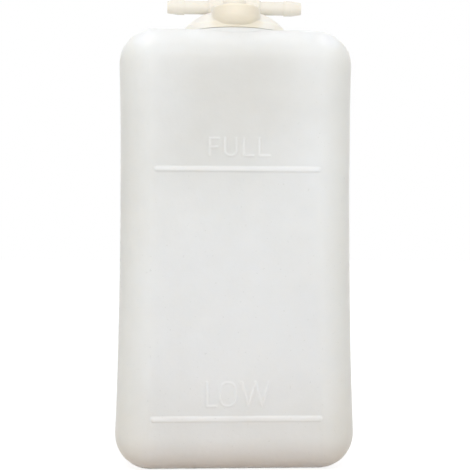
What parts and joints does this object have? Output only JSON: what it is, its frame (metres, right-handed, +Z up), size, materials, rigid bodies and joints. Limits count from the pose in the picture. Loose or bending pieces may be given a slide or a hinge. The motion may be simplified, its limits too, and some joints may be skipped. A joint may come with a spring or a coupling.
{
  "type": "coolant expansion tank",
  "caption": "Flat upright coolant tank with rounded edges, a slight waist and raised level ribs, closed by a domed push-on cap with opposed hose nipples, a finger lip and a dip pipe.",
  "frame": {"origin": "centre of the base, on the surface that the tank stands on", "axes": "+Z up along the axis of neck and cap, -Y towards the face with the level ribs, +X to the right as that face is looked at"},
  "size_m": [0.1092, 0.0647, 0.2174],
  "materials": {
    "tank_plastic": "translucent satin polyethylene",
    "cap_plastic": "ivory moulded plastic, satin",
    "seal_rubber": "matt black rubber",
    "pipe_plastic": "milky extruded tube"
  },
  "bodies": {
    "tank": {"tank": "tank_plastic"},
    "seal": {"cap_seal": "seal_rubber"},
    "cap": {"cap": "cap_plastic", "dip_pipe": "pipe_plastic"}
  },
  "joints": [
    {"name": "cap_lift", "type": "slide", "parent": "tank", "child": "seal", "axis": [0, 0, 1], "range_m": [0, 0.2]},
    {"name": "cap_swivel", "type": "hinge", "parent": "seal", "child": "cap", "pos_m": [0, 0, 0.2042], "axis": [0, 0, 1], "continuous": true}
  ]
}
